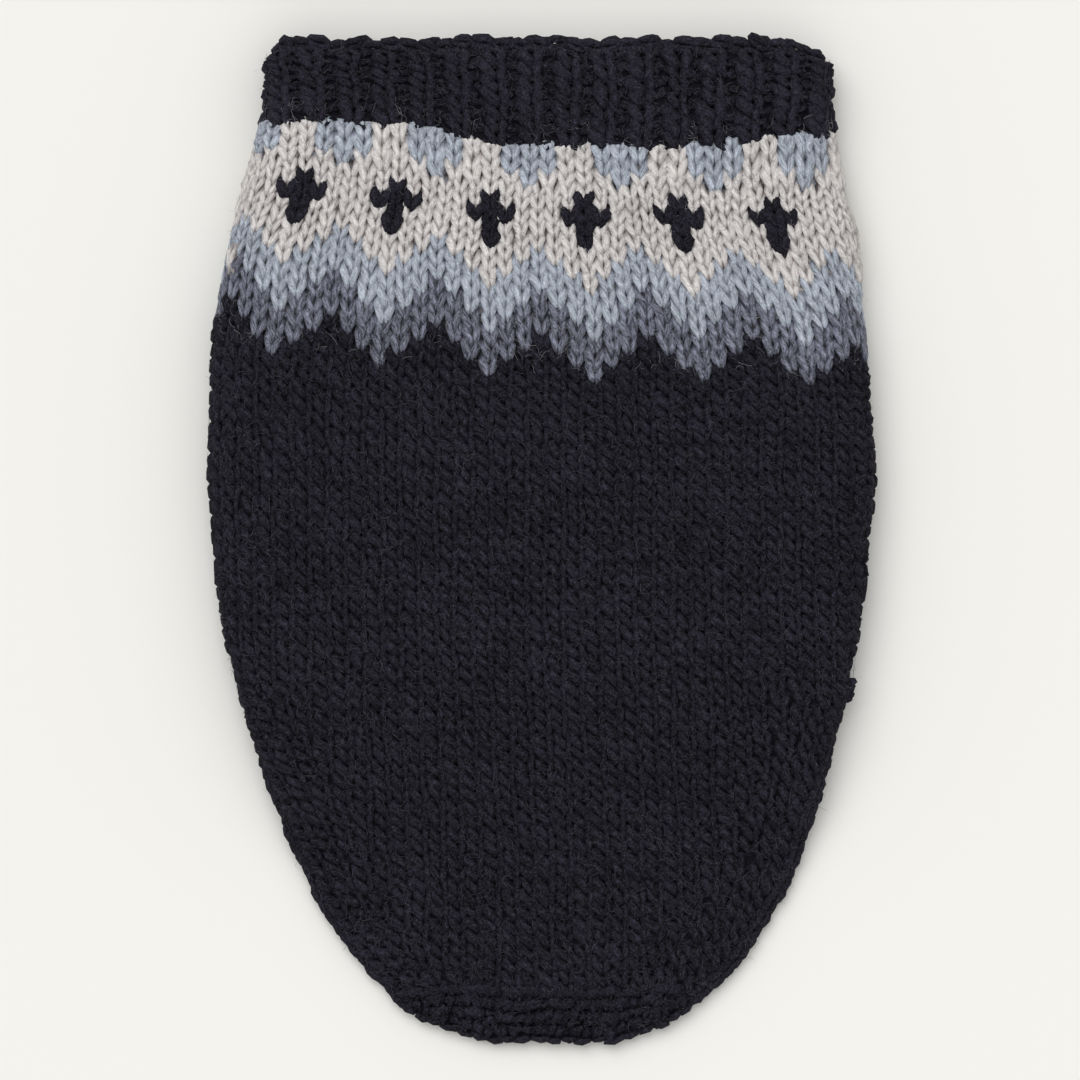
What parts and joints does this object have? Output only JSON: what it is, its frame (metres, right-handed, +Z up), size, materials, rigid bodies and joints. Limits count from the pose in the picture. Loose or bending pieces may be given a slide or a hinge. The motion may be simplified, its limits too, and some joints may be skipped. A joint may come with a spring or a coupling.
{
  "type": "knitted dog jumper",
  "caption": "Small dog's hand-knitted wool jumper lying flat, back up: ribbed collar, patterned yoke, plain body, leg openings and a rounded tail flap.",
  "frame": {"origin": "on the surface it lies on, under the middle of its outline", "axes": "+Y from the tail flap to the collar, +X to the right as seen from above, +Z up from the belly to the back"},
  "size_m": [0.201, 0.3029, 0.019],
  "materials": {
    "navy_wool": "plain knitting in very dark navy wool, matt and slightly hairy",
    "navy_rib": "ribbing in very dark navy wool, matt and slightly hairy",
    "cream_wool": "plain knitting in warm off-white wool",
    "sky_wool": "plain knitting in pale blue-grey wool",
    "slate_wool": "plain knitting in mid slate-blue wool"
  },
  "bodies": {
    "jumper": {"collar_rib": "navy_rib", "collar_cast_off_edge": "navy_rib", "yoke_motif_band": "cream_wool", "yoke_sky_band": "sky_wool", "yoke_slate_band": "slate_wool", "yoke_floats": "cream_wool", "back_panel": "navy_wool", "chest_panel": "navy_wool", "belly_hem": "navy_rib", "leg_cuff_left": "navy_rib", "leg_cuff_right": "navy_rib", "side_seam_left": "navy_wool", "side_seam_right": "navy_wool"},
    "tail_flap": {"tail_panel": "navy_wool", "tail_edge_left": "navy_wool", "tail_edge_right": "navy_wool", "tail_hem": "navy_rib"}
  },
  "joints": [
    {"name": "tail_flap_lift", "type": "hinge", "parent": "jumper", "child": "tail_flap", "pos_m": [0, -0.045, 0.0165], "axis": [-1, 0, 0], "range_deg": [0, 120]}
  ]
}
